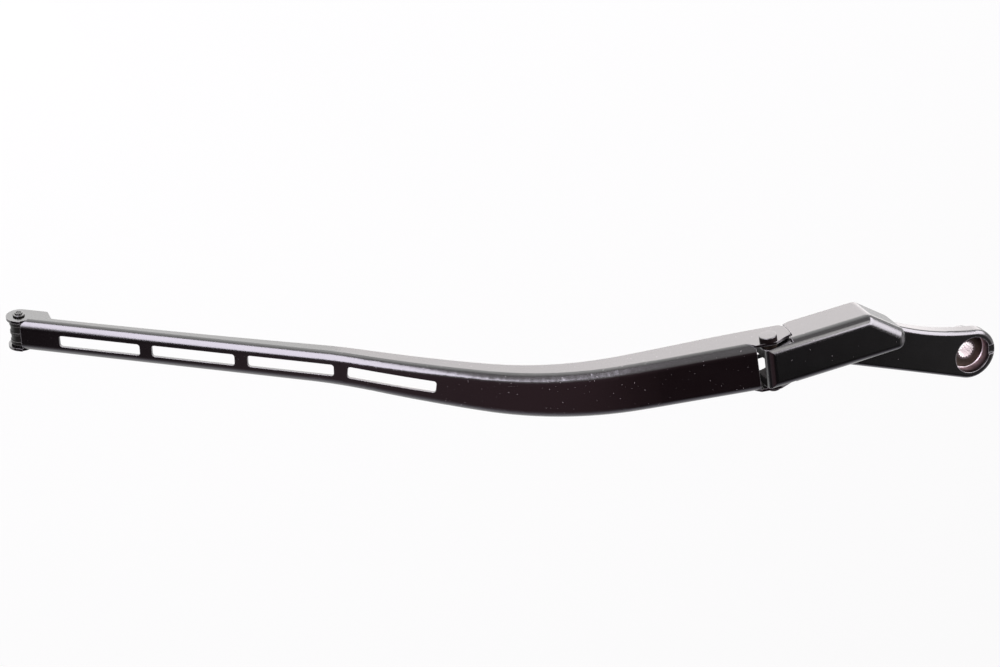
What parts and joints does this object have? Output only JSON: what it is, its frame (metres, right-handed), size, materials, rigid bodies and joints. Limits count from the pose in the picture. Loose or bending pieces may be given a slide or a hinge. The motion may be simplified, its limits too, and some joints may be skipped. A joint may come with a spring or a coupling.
{
  "type": "windscreen wiper arm",
  "caption": "Cranked windscreen wiper arm: slotted pressed channel hinged on a cast head with a spindle boss, sprung towards the glass, with a pivoting blade connector at its tip.",
  "frame": {"origin": "on the spindle axis, at the foot of the hub that the spindle enters", "axes": "+Z along the spindle, out of the glass side towards the nut; +Y along the hinge pin, towards its head; the arm reaches towards -X and falls towards -Z"},
  "size_m": [0.5719, 0.1391, 0.2274],
  "materials": {
    "black_casting": "satin",
    "black_sheet": "satin",
    "black_pin": "satin",
    "bush_bronze": "satin",
    "plain_steel": "satin",
    "spring_steel": "satin",
    "rivet_steel": "satin",
    "connector_black": "matte"
  },
  "bodies": {
    "head": {"mounting_head": "black_casting", "hinge_bush_upper": "bush_bronze", "hinge_bush_lower": "bush_bronze", "spring_anchor_pin": "plain_steel"},
    "arm": {"arm_channel": "black_sheet", "hinge_pin": "black_pin", "spring_bracket": "black_sheet", "connector_rivet": "rivet_steel", "connector_sleeve": "plain_steel"},
    "spring_link": {"spring_hook": "plain_steel", "tension_spring": "spring_steel"},
    "connector": {"blade_connector": "connector_black"}
  },
  "joints": [
    {"name": "arm_fold", "type": "hinge", "parent": "head", "child": "arm", "pos_m": [-0.1355, 0.0404, 0.0196], "axis": [0, 1, 0], "range_deg": [0, 60], "stiffness_Nm_per_rad": 0.2, "springref_deg": -114.59, "deforming": ["tension_spring"]},
    {"name": "spring_swing", "type": "hinge", "parent": "head", "child": "spring_link", "pos_m": [-0.1275, 0.0404, 0.0156], "axis": [0, 1, 0], "range_deg": [0, 56]},
    {"name": "connector_pivot", "type": "hinge", "parent": "arm", "child": "connector", "pos_m": [-0.54607, 0.10958, -0.18998], "axis": [0.1399, 0.9861, 0.0891], "range_deg": [-10, 35]}
  ],
  "couplings": [
    {"joint": "spring_swing", "follows": "arm_fold", "ratio": 0.925}
  ]
}
